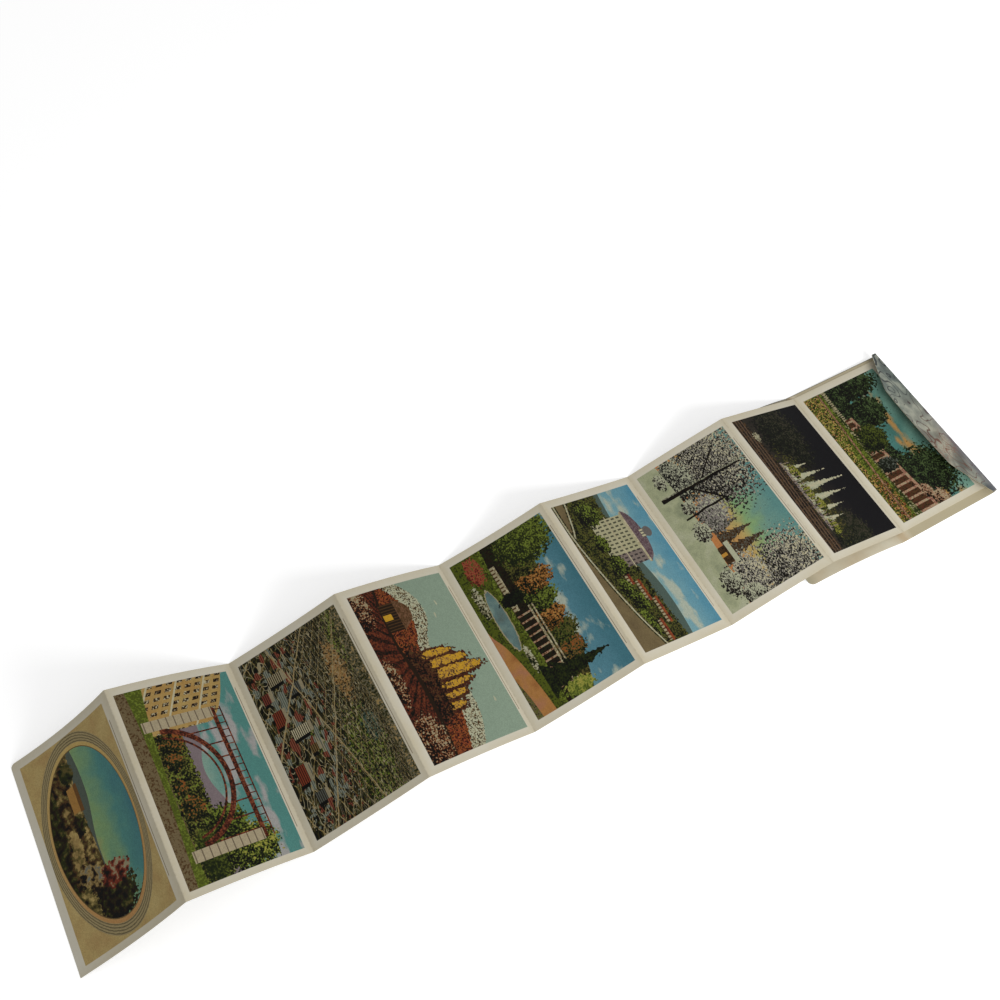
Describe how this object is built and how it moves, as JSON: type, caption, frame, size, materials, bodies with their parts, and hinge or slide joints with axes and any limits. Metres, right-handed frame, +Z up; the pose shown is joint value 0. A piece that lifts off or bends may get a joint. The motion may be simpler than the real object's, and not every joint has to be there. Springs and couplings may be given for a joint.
{
  "type": "fold-out postcard folder",
  "caption": "Souvenir postcard folder opened out: a zigzag strip of printed landscape panels, pasted by its last panel into a folded card cover with a tuck flap.",
  "frame": {"origin": "middle of the opened folder's outline, on the surface that it lies on", "axes": "+X runs along the strip from its free end to the cover, +Y runs along the folds to the pictures' left side, +Z is up"},
  "size_m": [0.7934, 0.1634, 0.0508],
  "materials": {
    "picture_paper": "cream linen-finish paper, printed on the upper face",
    "cover_card": "plain buff inside, smooth card"
  },
  "bodies": {
    "root": {"picture_strip": "picture_paper", "cover": "cover_card"}
  },
  "joints": []
}
